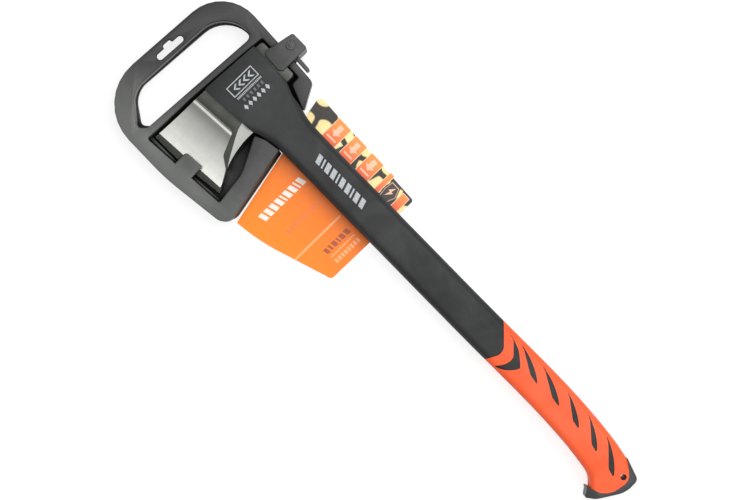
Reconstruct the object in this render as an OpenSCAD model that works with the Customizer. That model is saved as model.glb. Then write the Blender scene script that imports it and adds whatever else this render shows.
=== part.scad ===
// Splitting axe, 600 mm long, lying on its side in a one-piece moulded sheath.
// The origin is the centre of the lanyard hole, on the axe's middle plane.
// +X runs up the handle to the head, +Y points to the cutting edge, +Z faces up.
// Outlines are lists of corners [x, y, corner radius], listed anticlockwise.

/* [Grip and handle] */
// Radius of the lanyard hole
lanyard_r = 3.3; // [2:0.1:4]
// Length of the lanyard hole between its two spot faces
lanyard_l = 27.2; // [26:0.2:27.6]
// Thickness of the soft grip over the nylon core
grip_t = 3; // [2:0.5:4]
// Wall between the outside of the handle and its hollow
handle_wall = 6.5; // [5.5:0.5:8]
// How far the black ribs stay below the surface of the grip
rib_recess = 0.7; // [0.2:0.1:1.5]
// Half thickness of the butt cap
cap_h = 13.4; // [12:0.2:14]

/* [Steel head] */
// Half thickness of the steel where it passes through the handle
waist_h = 12; // [10:0.5:14]
// Half thickness of the poll
poll_h = 13; // [11:0.5:13]
// Slope of the cutting edge and of the wrap line against the handle
head_tilt = 4; // [2:0.5:5]

/* [Sheath] */
// Depth of the sheath from its front rim to its back edge
sheath_d = 20; // [18:1:24]
// Wall thickness of the sheath
sheath_wall = 2.4; // [1.8:0.2:3]
// Spacing of the stiffening ribs in the back of the sheath
rib_pitch = 36; // [24:2:48]

/* [Latch] */
// Radius of the rivet that the latch turns on
pin_r = 3; // [2.5:0.1:3.5]
// Running clearance between the rivet and the latch
pin_play = 0.06; // [0.02:0.01:0.1]
// Half depth of the latch, outside
clip_h = 15.8; // [15.4:0.1:17]
// Wall thickness of the latch
clip_t = 2.4; // [1.8:0.2:2.4]

/* [Retail card] */
// Thickness of the card
card_t = 0.6; // [0.4:0.1:1]
// Thickness of the foam pad that sticks it to the back of the shaft
pad_t = 1.6; // [1.4:0.1:2.5]

/* [Hidden] */

gap = 0.1;                      // seam between pieces that are moulded together
shaft_h = 14;                   // half thickness of the plain shaft
ring_n = 20;                    // points in one cross-section of the handle
arc_n = 8;                      // straight pieces in one rounded corner
through = 60;                   // longer than any piece is deep
pin_at = [552.3, -65.1];        // axis of the latch rivet
head_x = [531, 575.5];          // the steel inside the handle, along the shaft

// Cross-sections of the grip, shaft, neck and wrap: [x, edge side, poll side, half
// thickness, squareness, lean]. Squareness 2 is an ellipse, and a high one a box.
sections = [
    [-9, 36, -13, 13.5, 2.8, 0], [4, 36, -14.6, 14.3, 2.8, 0], [17, 33.5, -17.4, 14.8, 2.8, 0],
    [20, 28.9, -18, 15, 2.8, 0], [26, 24.2, -18.9, 15, 2.8, 0], [36, 22.2, -20.5, 15.2, 2.8, 0],
    [50, 20, -22, 15.4, 2.8, 0], [66, 18.3, -23.4, 15.6, 2.8, 0], [95, 16.7, -25.1, 16, 2.8, 0],
    [130, 16.2, -25.5, 15.8, 3, 0], [165, 16.7, -25.2, 15, 3.4, 0], [205, 17.4, -24.5, 14, 4, 0],
    [478, 17.4, -24.5, 14, 4, 0], [489, 17.8, -25.5, 14.4, 4.2, 0], [498, 19.3, -28.4, 15.8, 4.8, 0],
    [507, 21.9, -31, 17.8, 5.5, 0], [516, 24.4, -33.8, 19.4, 6.5, 0], [527, 25.6, -36, 20.4, 7, 0],
    [557, 28.1, -37.1, 20.5, 7, 0], [575, 28.5, -37.8, 20.5, 7, 0.03],
    [578.6, 27.6, -36.8, 19.4, 6, 0.05], [579.8, 25.8, -35, 17.6, 5, 0.056]];

// Corner outlines
cap_line = [[9.7, -16.6, 0], [-6.8, -1, 8], [-2.3, 24.7, 14], [18.4, 33.6, 0]];
shaft_line = [[206, -31, 0], [175.6, -1, 10], [186.6, 21, 0]];
cap_outline = concat([[11.7, 42.2, 3], [2, 34.7, 25], [-14.7, 9.3, 26], [-13.9, -9, 6]], cap_line,
                     [[17.4, 35.2, 1.5]]);
slash = [[0, 0, 1], [11.3, -16, 25], [39.2, -26.4, 0], [29, -21, 40], [10, -2.6, 3]];
slashes = [[6.9, 7.6, 39, 26.3], [37.2, 2.1, 38, 22.8], [67, -1.4, 41, 20.5],
           [96.8, -2.9, 49, 19.5], [128.6, -2.9, 48, 19.5]];
crescent = [[173.6, 15.4, 1], [157.5, 9, 10], [152.8, -3.6, 6], [171, -16.6, 30], [192, -21.4, 0],
            [178.5, -17.6, 30], [161.6, -1, 12]];
blade_outline = [[516, 24.5, 0], [527, 25.7, 0], [557, 28.2, 0], [580, 28.7, 0],
                 [583.8, 99.4, 1], [552, 99.4, 260], [496.5, 92.7, 0.8], [517.8, 52, 90]];
poll_outline = [[528.5, -47.3, 3.5], [576, -47.3, 3.5], [576, -37.9, 0], [528.5, -36.1, 0]];
sheath_outline = [[495.5, -27.6, 0], [511, -55.3, 5], [564, -58.3, 60], [645.4, -62, 45],
                  [655.6, 120.2, 53.7], [546, 121.5, 220], [465.2, 111.5, 13.5], [484.5, 17.6, 1],
                  [502, 20.4, 12], [513.4, 25.5, 2.5], [494, 62, 40], [488.9, 99.4, 2],
                  [587.2, 106.2, 2], [585.4, 49, 60], [578.6, -49.6, 1.5], [524, -48.2, 1.5],
                  [523.8, -38.2, 5]];
carry_hole = [[587.1, -44.8, 8], [627, -42, 34], [632.9, 82, 24], [603, 106.3, 5],
              [595.2, 98.6, 5]];
edge_tab = [[527.4, 86, 2.6], [549.6, 87.6, 2.6], [549.1, 108, 0], [526.7, 108, 0]];
floor_outline = [[491, 100, 0], [493, 70, 0], [501, 49, 20], [511, 27.5, 2], [513.2, 46, 6],
                 [521, 50, 8], [586, 53, 0], [588, 108, 0]];
clip_outline = [[539, -75.5, 3], [559.8, -75.5, 3], [564.6, -50, 30], [566.8, -42.4, 3],
                [562.6, -39.3, 3], [543, -38.1, 3.5], [539, -41.5, 1.5]];
lever_outline = [[520.6, -58.2, 1.9], [520.6, -62.4, 1.9], [541, -63.6, 0], [541, -59.4, 0]];
card_outline = [[351.6, -45.2, 3], [494, -51.7, 2], [496.5, -46, 1], [492, -24, 0], [486, 0, 0],
                [463.6, 102.2, 1.5], [432, 98.3, 200], [353, 72.5, 4]];

// Geometry of rounded outlines
function unit(v) = v / norm(v);
function at(pts, i) = pts[(i + len(pts)) % len(pts)];
function xy(p) = [p[0], p[1]];
function left_of(v) = [-v[1], v[0]];

// The points of an arc of radius r that rounds the corner b between a and c
function corner(a, b, c, r) =
    let (u = unit(a - b), v = unit(c - b), half = acos(u * v) / 2)
    r == 0 || half > 89.9 ? [b] :
    let (mid = b + unit(u + v) * r / sin(half),
         s = b + u * r / tan(half) - mid, e = b + v * r / tan(half) - mid,
         a0 = atan2(s[1], s[0]), turn = atan2(s[0] * e[1] - s[1] * e[0], s * e))
    [for (i = [0 : arc_n]) mid + r * [cos(a0 + turn * i / arc_n), sin(a0 + turn * i / arc_n)]];

function rounded(pts) = [for (i = [0 : len(pts) - 1])
    each corner(xy(at(pts, i - 1)), xy(pts[i]), xy(at(pts, i + 1)), pts[i][2])];

// The same outline with every side moved in by d; a negative d moves it out
function inset(pts, d) = [for (i = [0 : len(pts) - 1])
    let (u = unit(xy(pts[i]) - xy(at(pts, i - 1))), v = unit(xy(at(pts, i + 1)) - xy(pts[i])),
         m = left_of(u), n = left_of(v), p = xy(pts[i]) + d * (m + n) / (1 + m * n),
         bend = u[0] * v[1] - u[1] * v[0])
    [p[0], p[1], max(0, pts[i][2] + (bend > 0 ? -d : d))]];

module plate(outline, z0, z1)
    translate([0, 0, z0]) linear_extrude(z1 - z0) polygon(rounded(outline));

// Skin over the handle's cross-sections, moved in by d
function ring(s, d) =
    let (mid = (s[1] + s[2]) / 2, half_w = (s[1] - s[2]) / 2 - d, half_t = s[3] - d)
    [for (i = [0 : ring_n - 1])
        let (c = cos(360 * i / ring_n), k = sin(360 * i / ring_n),
             y = mid + half_w * sign(c) * pow(abs(c), 2 / s[4]))
        [s[0] + s[5] * (y - s[1]), y, half_t * sign(k) * pow(abs(k), 2 / s[4])]];

module skin(first, last, d) {
    n = ring_n;
    count = last - first + 1;
    points = [for (i = [first : last]) each ring(sections[i], d)];
    sides = [for (i = [0 : count - 2]) for (j = [0 : n - 1])
        let (a = i * n + j, b = i * n + (j + 1) % n) each [[a, b + n, b], [a, a + n, b + n]]];
    ends = [[for (j = [0 : n - 1]) j], [for (j = [n - 1 : -1 : 0]) (count - 1) * n + j]];
    polyhedron(points, concat(sides, ends), convexity = 6);
}

last_section = len(sections) - 1;
module core() skin(0, 11, grip_t);
module hollow() skin(0, 14, handle_wall);

// Plan of the soft grip, between the butt cap and the shaft, with its ends moved in by d
module grip_plan(d = 0)
    plate(inset(concat([[9.7, -60, 0], [206, -60, 0]], shaft_line, [[186.6, 60, 0], [18.4, 60, 0]],
        [for (i = [3 : -1 : 0]) cap_line[i]]), d), -through, through);

module slash_plan(s, d)
    plate(inset([for (p = slash) [s[0] + p[0] * s[2] / 39.2, s[1] + p[1] * s[3] / 26.4, p[2]]], d),
          -through, through);

module inlay_plans(d) {
    for (s = slashes) slash_plan(s, d);
    plate(inset(crescent, d), -through, through);
}

module lanyard_hole() cylinder(r = lanyard_r, h = 2 * through, center = true, $fn = 48);
module spot_faces()
    for (side = [-1, 1]) translate([0, 0, side * (lanyard_l / 2 + 10)])
        cylinder(r = 6, h = 20, center = true, $fn = 48);

// Steel: a wedge with a hollow cheek, a square shoulder, a waist and a poll
module axe_head() color([0.72, 0.73, 0.7]) {
    wedge = [[101, 0], [95, 2.4], [60, 5.4], [42, 7.6], [36, 14.2], [20, 15.4]];
    intersection() {
        plate(blade_outline, -through, through);
        translate([540, 0, 0]) rotate([0, 0, head_tilt]) translate([-100, 0, 0])
            rotate([90, 0, 90]) linear_extrude(200)
                polygon(concat([for (p = wedge) [p[0], p[1]]],
                               [for (i = [len(wedge) - 1 : -1 : 1]) [wedge[i][0], -wedge[i][1]]]));
    }
    translate([head_x[0] + gap, -38, -waist_h + gap])
        cube([head_x[1] - head_x[0] - 2 * gap, 68, 2 * (waist_h - gap)]);
    plate(poll_outline, -poll_h, poll_h);
}

// Glass-filled nylon: the wrap round the head, the hollow shaft and the core of the grip
module handle_body() color([0.16, 0.17, 0.17]) difference() {
    union() {
        intersection() { core(); grip_plan(gap); }
        difference() { skin(9, last_section, 0); grip_plan(0); }
        intersection() {
            skin(0, 11, rib_recess);
            grip_plan(gap);
            inlay_plans(gap);
        }
    }
    difference() {
        hollow();
        cylinder(r = 7, h = 2 * through, center = true, $fn = 48);
        translate([-20, -30, -through]) cube([14, 60, 2 * through]);
    }
    translate([head_x[0], -60, -waist_h]) cube([head_x[1] - head_x[0], 120, 2 * waist_h]);
    lanyard_hole();
}

// Soft orange grip, moulded over the core, with windows for the black ribs
module grip_sleeve() color([0.98, 0.4, 0.24]) difference() {
    intersection() { skin(0, 11, 0); grip_plan(gap); }
    skin(0, 11, grip_t - gap);
    inlay_plans(0);
    lanyard_hole();
    spot_faces();
}

// Black butt cap with the hook that stops the hand from slipping off
module butt_cap() color([0.14, 0.15, 0.15]) plate(cap_outline, -cap_h, cap_h);

// Slot for a shop hook, with a round notch half way up its far side
module hang_slot(d) translate([637.5, 24.6, 0]) rotate([0, 0, -3.3]) {
    for (y = [-13.3, 13.3]) translate([0, y, 0])
        cylinder(r = 3.5 + d, h = 2 * through, center = true, $fn = 32);
    cube([7 + 2 * d, 26.6, 2 * through], center = true);
    translate([2.9, 0, 0]) cylinder(r = 4.9 + d, h = 2 * through, center = true, $fn = 32);
}

// One-piece sheath: a front rim, walls turned back round the axe head and the carry
// handle, ribs between the walls, and a floor behind the cutting edge
module sheath_shell() color([0.24, 0.25, 0.25]) {
    half = sheath_d / 2;
    difference() {
        union() {
            plate(sheath_outline, -half, half);
            translate([pin_at[0], pin_at[1], 0]) {
                cylinder(r = 6.5, h = 2 * (clip_h - clip_t - 0.3), center = true, $fn = 48);
                translate([-6.5, 0, -clip_h + clip_t + 0.3])
                    cube([13, 8.6, 2 * (clip_h - clip_t - 0.3)]);
            }
        }
        difference() {
            plate(inset(sheath_outline, sheath_wall), -through, half - sheath_wall);
            plate(inset(carry_hole, -sheath_wall), -through, through);
            hang_slot(sheath_wall);
            for (x = [470 : rib_pitch : 640]) translate([x, -100, -half + 3]) cube([1.6, 300, sheath_d]);
            for (y = [-20 : rib_pitch : 110]) translate([584, y, -half + 3]) cube([80, 1.6, sheath_d]);
        }
        plate(carry_hole, -through, through);
        hang_slot(0);
        translate([pin_at[0], pin_at[1], 0])
            cylinder(r = pin_r + 0.02, h = 2 * through, center = true, $fn = 48);
    }
    plate(edge_tab, half - sheath_wall, half);
    plate(floor_outline, -half, -half + sheath_wall);
}

// Latch that turns on the rivet and closes over the poll, front and back
module latch_clip() color([0.13, 0.14, 0.14]) difference() {
    union() {
        for (side = [0, 1]) mirror([0, 0, side]) plate(clip_outline, clip_h - clip_t, clip_h);
        translate([541, -75.5, -clip_h + 1]) cube([17, clip_t, 2 * clip_h - 2]);
        translate([539, -73, -clip_h + 1]) cube([clip_t, 14.6, 2 * clip_h - 2]);
        translate([539.8, -74.7, -clip_h + 1]) cube([3, 3, 2 * clip_h - 2]);
        plate(lever_outline, -7, 7);
    }
    translate([pin_at[0], pin_at[1], 0])
        cylinder(r = pin_r + pin_play, h = 2 * through, center = true, $fn = 48);
}

// Rivet with a domed, grooved head at each end
module latch_pin() color([0.2, 0.2, 0.2]) translate([pin_at[0], pin_at[1], 0]) {
    cylinder(r = pin_r, h = 2 * clip_h + 0.4, center = true, $fn = 48);
    for (side = [0, 1]) mirror([0, 0, side]) translate([0, 0, clip_h + 0.1])
        rotate_extrude($fn = 48)
            polygon([[0, 0], [5, 0], [5, 0.9], [4.4, 1.5], [3.5, 1.6], [3.3, 1.1], [2.9, 1.1],
                     [2.7, 1.8], [1.4, 2.1], [0, 2.2]]);
}

// Printed card behind the shaft, with a wing on each side
module retail_card() color([1, 0.5, 0.2])
    plate(card_outline, -shaft_h - pad_t - card_t, -shaft_h - pad_t);

// Foam pad that sticks the card to the flat back of the shaft
module card_pad() color([0.85, 0.85, 0.8])
    translate([385, -14, -shaft_h - pad_t + 0.02]) cube([80, 20, pad_t - 0.04]);

axe_head();
handle_body();
grip_sleeve();
butt_cap();
sheath_shell();
latch_clip();
latch_pin();
retail_card();
card_pad();
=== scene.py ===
# %% [markdown]
# # A splitting axe in its sheath
# The axe lies on its side in a moulded sheath, with a printed card behind the shaft. The packed
# CAD model is loaded first. It is the frame: it says how big each piece is, where it lies and
# what it moves with. Every shape below is drawn to it, and then stands in for its CAD node. The
# one piece that stays the CAD's own is the hidden foam pad.

# %% Load the frame
from math import pi, radians, tan

import bpy
from mathutils import Matrix, Vector


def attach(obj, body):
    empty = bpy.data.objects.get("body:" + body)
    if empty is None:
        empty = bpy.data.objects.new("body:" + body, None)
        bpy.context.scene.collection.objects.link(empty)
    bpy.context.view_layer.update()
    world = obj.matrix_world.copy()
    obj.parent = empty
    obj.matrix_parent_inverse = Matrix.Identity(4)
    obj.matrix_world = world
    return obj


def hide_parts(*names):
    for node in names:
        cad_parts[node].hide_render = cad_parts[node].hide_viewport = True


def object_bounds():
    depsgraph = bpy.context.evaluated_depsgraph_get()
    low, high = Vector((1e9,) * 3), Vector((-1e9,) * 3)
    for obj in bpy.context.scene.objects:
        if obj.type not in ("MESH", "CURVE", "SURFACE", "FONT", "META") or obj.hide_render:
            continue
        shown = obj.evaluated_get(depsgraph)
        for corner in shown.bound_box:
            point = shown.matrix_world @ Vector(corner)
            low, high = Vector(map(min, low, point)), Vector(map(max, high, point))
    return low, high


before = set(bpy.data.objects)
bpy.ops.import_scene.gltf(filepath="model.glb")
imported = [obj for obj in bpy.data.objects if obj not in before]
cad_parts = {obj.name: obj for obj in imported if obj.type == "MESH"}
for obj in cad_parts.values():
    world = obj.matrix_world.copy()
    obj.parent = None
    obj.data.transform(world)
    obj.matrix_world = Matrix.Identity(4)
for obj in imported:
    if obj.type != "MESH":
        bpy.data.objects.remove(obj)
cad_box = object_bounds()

MM = 0.001
print("the CAD box in mm:", [[round(c / MM, 1) for c in corner] for corner in cad_box])

# %% [markdown]
# ## Camera, floor and light
# The axe is looked at from straight above, as on a copy stand, and the camera is rolled so that
# the handle runs from the lower right up to the left. The floor is a wide sheet of pale paper
# just below the lowest point. One large soft light hangs over it and a second fills from the side.

# %% Camera above the table
ROLL = radians(45.65)                    # how far the handle is turned from level in the view
AIM = (343 * MM, 19.2 * MM)              # the point of the axe under the lens
CAMERA_HEIGHT = 1600 * MM
WIDTH_SEEN = 771.8 * MM                  # what the long side of the view takes in

bpy.ops.object.camera_add(location=(*AIM, CAMERA_HEIGHT), rotation=(0, 0, pi + ROLL))
camera = bpy.context.object
camera.data.sensor_width = 36
camera.data.lens = 36 * CAMERA_HEIGHT / WIDTH_SEEN
camera.data.dof.use_dof = False
bpy.context.scene.camera = camera
print(f"lens {camera.data.lens:.1f} mm at {CAMERA_HEIGHT} m")

# %% Floor and soft light
FLOOR_GAP = 0.4 * MM                     # between the axe's lowest point and the paper
FLOOR_SIZE = 14
LIT_POINT = Vector((0.35, 0.02, 0))      # what both lights point at, in metres

floor_z = cad_box[0].z - FLOOR_GAP
bpy.ops.mesh.primitive_plane_add(size=FLOOR_SIZE, location=(*AIM, floor_z))
floor = bpy.context.object
floor.name = "floor"
print(f"floor at {floor_z / MM:.1f} mm")


def soft_light(name, stand, size, watts):
    """A round, soft lamp that stands at a point and faces the axe."""
    bpy.ops.object.light_add(type="AREA", location=stand)
    light = bpy.context.object
    light.name = name
    light.data.shape = "DISK"
    light.data.size = size
    light.data.energy = watts
    light.rotation_euler = (LIT_POINT - Vector(stand)).to_track_quat("-Z", "Y").to_euler()
    print(f"{name}: {watts} W, {size} m wide")


soft_light("overhead", (0.4, -0.6, 1.6), 1.6, 25)
soft_light("fill", (-0.96, -0.21, 0.82), 2.2, 8)

# %% [markdown]
# Colours and light that change over a surface or over the room are wired from nodes. Wiring is
# the same few steps again and again, so four small helpers do them: one adds any node and fills
# its inputs, and three are short names for the nodes that turn up most.

# %% Building blocks for nodes
def add(tree, kind, inputs=None, **options):
    """Adds a node, sets its options, and fills its inputs or wires them to other sockets."""
    made = tree.nodes.new("ShaderNode" + kind)
    for key, value in options.items():
        setattr(made, key, value)
    for key, value in (inputs or {}).items():
        if isinstance(value, bpy.types.NodeSocket):
            tree.links.new(value, made.inputs[key])
        else:
            made.inputs[key].default_value = value
    return made


def sums(tree, operation, *values):
    """A Math node on values or sockets."""
    return add(tree, "Math", dict(enumerate(values)), operation=operation).outputs[0]


def spread(tree, value, low, high, to_low=0.0, to_high=1.0):
    """Stretches a range of a value over another range, and stops at its ends."""
    return add(tree, "MapRange", {"Value": value, "From Min": low, "From Max": high,
                                  "To Min": to_low, "To Max": to_high}).outputs["Result"]


def mixed(tree, factor, first, second):
    """Mixes two colours, given as values or sockets."""
    return add(tree, "Mix", {0: factor, 6: first, 7: second}, data_type="RGBA").outputs[2]


# %% [markdown]
# The paper glows a little of itself, as a light table does, which keeps shadows faint. The room
# is bright overhead and dim at the horizon, so that rounded edges fall off into the dark. An
# even white room would be simpler, but black plastic would look flat in it.

# %% A floor that glows
paper = bpy.data.materials.new("floor_paper")
paper.use_nodes = True
sheet = paper.node_tree.nodes["Principled BSDF"]
sheet.inputs["Base Color"].default_value = (0.27, 0.27, 0.27, 1)
sheet.inputs["Roughness"].default_value = 0.9
sheet.inputs["Specular IOR Level"].default_value = 0.1
sheet.inputs["Emission Color"].default_value = (1, 1, 1, 1)
sheet.inputs["Emission Strength"].default_value = 0.78
floor.data.materials.append(paper)
print("the floor is", paper.name)

# %% A room that is dim at the horizon
BRIGHTEST = (0, 0.17, 0.985)             # nearly overhead, leaning to the edge side
HORIZON_LIGHT = 0.2
OVERHEAD_LIGHT = 1.1                     # what the brightest part adds to that

room = bpy.data.worlds.new("studio")
bpy.context.scene.world = room
room.use_nodes = True
sky = room.node_tree
direction = add(sky, "TexCoord").outputs["Generated"]
nearness = add(sky, "VectorMath", {0: direction, 1: BRIGHTEST}, operation="DOT_PRODUCT")
steep = sums(sky, "POWER", spread(sky, nearness.outputs["Value"], 0.3, 1), 6)
level = sums(sky, "MULTIPLY_ADD", steep, OVERHEAD_LIGHT, HORIZON_LIGHT)
background = sky.nodes["Background"]
background.inputs["Color"].default_value = (1, 1, 1, 1)
sky.links.new(level, background.inputs["Strength"])
bpy.context.scene.view_settings.view_transform = "Standard"
print("the room's brightest part lies towards", BRIGHTEST)

# %% [markdown]
# ## Drawing tools
# Most pieces of this axe are mouldings with a flat outline and rounded corners, so the first
# tools do what a hand does with them: draw the outline corner by corner with extruded points,
# round each corner with a vertex bevel, fill it, and extrude the face to its thickness. Sizes
# are in millimetres, and corners are written as [x, y, radius].

# %% Selecting in code
def only(piece):
    """Selects one piece and nothing else."""
    bpy.ops.object.select_all(action="DESELECT")
    piece.select_set(True)
    bpy.context.view_layer.objects.active = piece
    return piece


def select_by(kind):
    """Edit mode works with whole points, edges or faces, as these three switches say."""
    switches = [kind == k for k in ("VERT", "EDGE", "FACE")]
    bpy.context.tool_settings.mesh_select_mode = switches


def pick(piece, kind, test):
    """Opens a piece for editing with the points, edges or faces that pass the test selected."""
    only(piece)
    select_by(kind)
    mesh = piece.data
    for group in (mesh.vertices, mesh.edges, mesh.polygons):
        group.foreach_set("select", [False] * len(group))
    chosen = {"VERT": mesh.vertices, "EDGE": mesh.edges, "FACE": mesh.polygons}[kind]
    chosen.foreach_set("select", [bool(test(item)) for item in chosen])
    bpy.ops.object.mode_set(mode="EDIT")


def finish_editing():
    """Back to object mode, which writes the edits into the mesh."""
    bpy.ops.object.mode_set(mode="OBJECT")


def faces_outward(piece):
    """Merges points that lie on each other and turns every face to the outside."""
    only(piece)
    bpy.ops.object.mode_set(mode="EDIT")
    bpy.ops.mesh.select_all(action="SELECT")
    bpy.ops.mesh.remove_doubles(threshold=0.002 * MM)
    bpy.ops.mesh.normals_make_consistent(inside=False)
    finish_editing()
    return piece


# %% Outlines and prisms
ARC = 8                                  # straight pieces in one rounded corner
AROUND = 48                              # and in a full round


def turn_at(before, corner, after):
    """Half the angle that an outline turns through at a corner."""
    a = Vector(corner[:2]) - Vector(before[:2])
    b = Vector(after[:2]) - Vector(corner[:2])
    return a.angle(b) / 2


def draw(name, corners, z=0):
    """A flat face drawn through its corners, each rounded by its own radius."""
    select_by("VERT")
    bpy.ops.object.select_all(action="DESELECT")
    bpy.ops.mesh.primitive_plane_add(size=MM)
    piece = bpy.context.object
    piece.name = piece.data.name = name
    bpy.ops.object.mode_set(mode="EDIT")
    bpy.ops.mesh.merge(type="CENTER")
    bpy.ops.transform.translate(value=(corners[0][0] * MM, corners[0][1] * MM, z * MM))
    for a, b in zip(corners, corners[1:]):
        step = ((b[0] - a[0]) * MM, (b[1] - a[1]) * MM, 0)
        bpy.ops.mesh.extrude_region_move(TRANSFORM_OT_translate={"value": step})
    bpy.ops.mesh.select_all(action="SELECT")
    bpy.ops.mesh.edge_face_add()
    finish_editing()
    for before, corner, after in zip(corners[-1:] + corners, corners, corners[1:] + corners[:1]):
        if corner[2]:
            spot = Vector((corner[0], corner[1], z)) * MM
            pick(piece, "VERT", lambda v: (v.co - spot).length < 0.01 * MM)
            bpy.ops.mesh.bevel(offset=corner[2] * tan(turn_at(before, corner, after)) * MM,
                               segments=ARC, affect="VERTICES", clamp_overlap=False)
            finish_editing()
    return piece


def prism(name, corners, low, high):
    """A closed solid with that outline, between two heights."""
    piece = draw(name, corners, low)
    pick(piece, "FACE", lambda f: True)
    bpy.ops.mesh.extrude_region_move(
        TRANSFORM_OT_translate={"value": (0, 0, (high - low) * MM)})
    finish_editing()
    return faces_outward(piece)


def block(name, low, high):
    """A box between two corners."""
    bpy.ops.object.select_all(action="DESELECT")
    size = [(b - a) * MM for a, b in zip(low, high)]
    middle = [(a + b) / 2 * MM for a, b in zip(low, high)]
    bpy.ops.mesh.primitive_cube_add(size=1, location=middle, scale=size)
    piece = bpy.context.object
    piece.name = piece.data.name = name
    bpy.ops.object.transform_apply(location=True, rotation=True, scale=True)
    return piece


def drum(name, centre, radius, low, high):
    """A straight round bar along Z, used as a drill or a boss."""
    bpy.ops.object.select_all(action="DESELECT")
    bpy.ops.mesh.primitive_cylinder_add(
        vertices=AROUND, radius=radius * MM, depth=(high - low) * MM,
        location=(centre[0] * MM, centre[1] * MM, (low + high) / 2 * MM))
    piece = bpy.context.object
    piece.name = piece.data.name = name
    bpy.ops.object.transform_apply(location=True, rotation=True, scale=True)
    return piece


# %% [markdown]
# Booleans and bevels are modifiers, applied as soon as they are set. A cutter has done its work
# after one cut, so the tool below deletes it. The bevel runs along every edge sharper than a
# limit, which leaves the short flats of a rounded corner alone.

# %% Cutting, joining, rounding
def combine(piece, tool, how):
    """One applied Boolean; the tool is used up."""
    only(piece)
    cutter = piece.modifiers.new("cut", "BOOLEAN")
    cutter.operation = how
    cutter.object = tool
    cutter.solver = "EXACT"
    cutter.material_mode = "TRANSFER"
    bpy.ops.object.modifier_apply(modifier="cut")
    bpy.data.objects.remove(tool)
    return piece


def cut(piece, *tools):
    for tool in tools:
        combine(piece, tool, "DIFFERENCE")
    return piece


def weld(piece, *tools):
    for tool in tools:
        combine(piece, tool, "UNION")
    return piece


def keep_inside(piece, tool):
    return combine(piece, tool, "INTERSECT")


def copy_of(piece, name):
    only(piece)
    bpy.ops.object.duplicate()
    twin = bpy.context.object
    twin.name = twin.data.name = name
    return twin


def soften(piece, width, limit=30, segments=3):
    """Rounds every edge sharper than the limit, and shades the rest smooth."""
    only(piece)
    bevel = piece.modifiers.new("soften", "BEVEL")
    bevel.width = width * MM
    bevel.segments = segments
    bevel.limit_method = "ANGLE"
    bevel.angle_limit = radians(limit)
    bevel.use_clamp_overlap = True
    bpy.ops.object.modifier_apply(modifier="soften")
    return smooth(piece)


def smooth(piece, limit=32):
    """Smooth shading, except across edges sharper than the limit."""
    only(piece)
    bpy.ops.object.shade_smooth_by_angle(angle=radians(limit), keep_sharp_edges=False)
    return piece


def report(piece):
    """Says how many triangles a piece has."""
    piece.data.calc_loop_triangles()
    print(f"{piece.name}: {len(piece.data.loop_triangles)} triangles")


# %% [markdown]
# ## The handle's skin
# Wrap, shaft, grip and cap share one flowing surface, so it is made once. It starts as a small
# upright face at the butt, which is extruded from station to station up the handle and scaled
# to each section. The four long edges are then bevelled to a generous radius, and a
# Subdivision Surface makes the run between stations fair. A lathe or a curve would give a round
# handle: this one is a flattened box with soft shoulders.

# %% Stations along the handle
# [x, edge side, poll side, half thickness]
STATIONS = [
    [-30, 37, -11, 13.2], [-9, 36.6, -13, 13.6], [4, 36, -14.9, 14.2], [13, 34.6, -16.9, 14.8],
    [17, 31, -17.6, 15], [21, 26.6, -18.3, 15.1], [27, 23.2, -19.5, 15.2],
    [36, 21.9, -20.7, 15.3], [50, 19.9, -22.2, 15.5], [66, 18.4, -23.6, 15.7],
    [95, 16.8, -25.2, 16], [130, 16.4, -25.6, 15.8], [165, 16.8, -25.2, 15.1],
    [205, 17.5, -24.6, 14.2], [260, 17.6, -24.4, 14.1], [340, 17.6, -24.4, 14.1],
    [420, 17.6, -24.4, 14.1], [466, 17.6, -24.4, 14.1], [482, 17.6, -24.8, 14.2],
    [491, 17.9, -26.2, 14.8], [499, 19.4, -28.8, 16], [508, 22.4, -31.6, 18],
    [517, 26, -35, 19.5], [528, 31.5, -40.5, 20.25], [557, 34, -42, 20.35],
    [600, 36, -43, 20.35]]
SHOULDER = 8.5                           # radius of the long edges


def skin_of_handle():
    """One closed skin from the butt to past the wrap, a station at a time."""
    bpy.ops.object.select_all(action="DESELECT")
    x, top, bottom, half = STATIONS[0]
    bpy.ops.mesh.primitive_plane_add(
        size=1, location=(x * MM, (top + bottom) / 2 * MM, 0), rotation=(0, pi / 2, 0))
    piece = bpy.context.object
    piece.name = piece.data.name = "handle_skin"
    bpy.ops.object.transform_apply(location=True, rotation=True, scale=True)
    bpy.ops.object.mode_set(mode="EDIT")
    bpy.ops.mesh.select_all(action="SELECT")
    bpy.ops.transform.resize(value=(1, (top - bottom) * MM, 2 * half * MM),
                             center_override=(x * MM, (top + bottom) / 2 * MM, 0))
    for a, b in zip(STATIONS, STATIONS[1:]):
        old, new = (a[1] + a[2]) / 2, (b[1] + b[2]) / 2
        step = ((b[0] - a[0]) * MM, (new - old) * MM, 0)
        bpy.ops.mesh.extrude_region_move(TRANSFORM_OT_translate={"value": step})
        bpy.ops.transform.resize(
            value=(1, (b[1] - b[2]) / (a[1] - a[2]), b[3] / a[3]),
            center_override=(b[0] * MM, new * MM, 0))
    finish_editing()
    faces_outward(piece)
    points = piece.data.vertices

    def runs_along(edge):
        a, b = points[edge.vertices[0]].co, points[edge.vertices[1]].co
        return abs(b.x - a.x) > 1 * MM

    pick(piece, "EDGE", runs_along)
    bpy.ops.mesh.bevel(offset=SHOULDER * MM, segments=4, profile=0.5, affect="EDGES",
                       clamp_overlap=False)
    finish_editing()
    only(piece)
    fair = piece.modifiers.new("fair", "SUBSURF")
    fair.levels = fair.render_levels = 2
    bpy.ops.object.modifier_apply(modifier="fair")
    return smooth(piece, 60)


skin = skin_of_handle()
report(skin)

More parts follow.
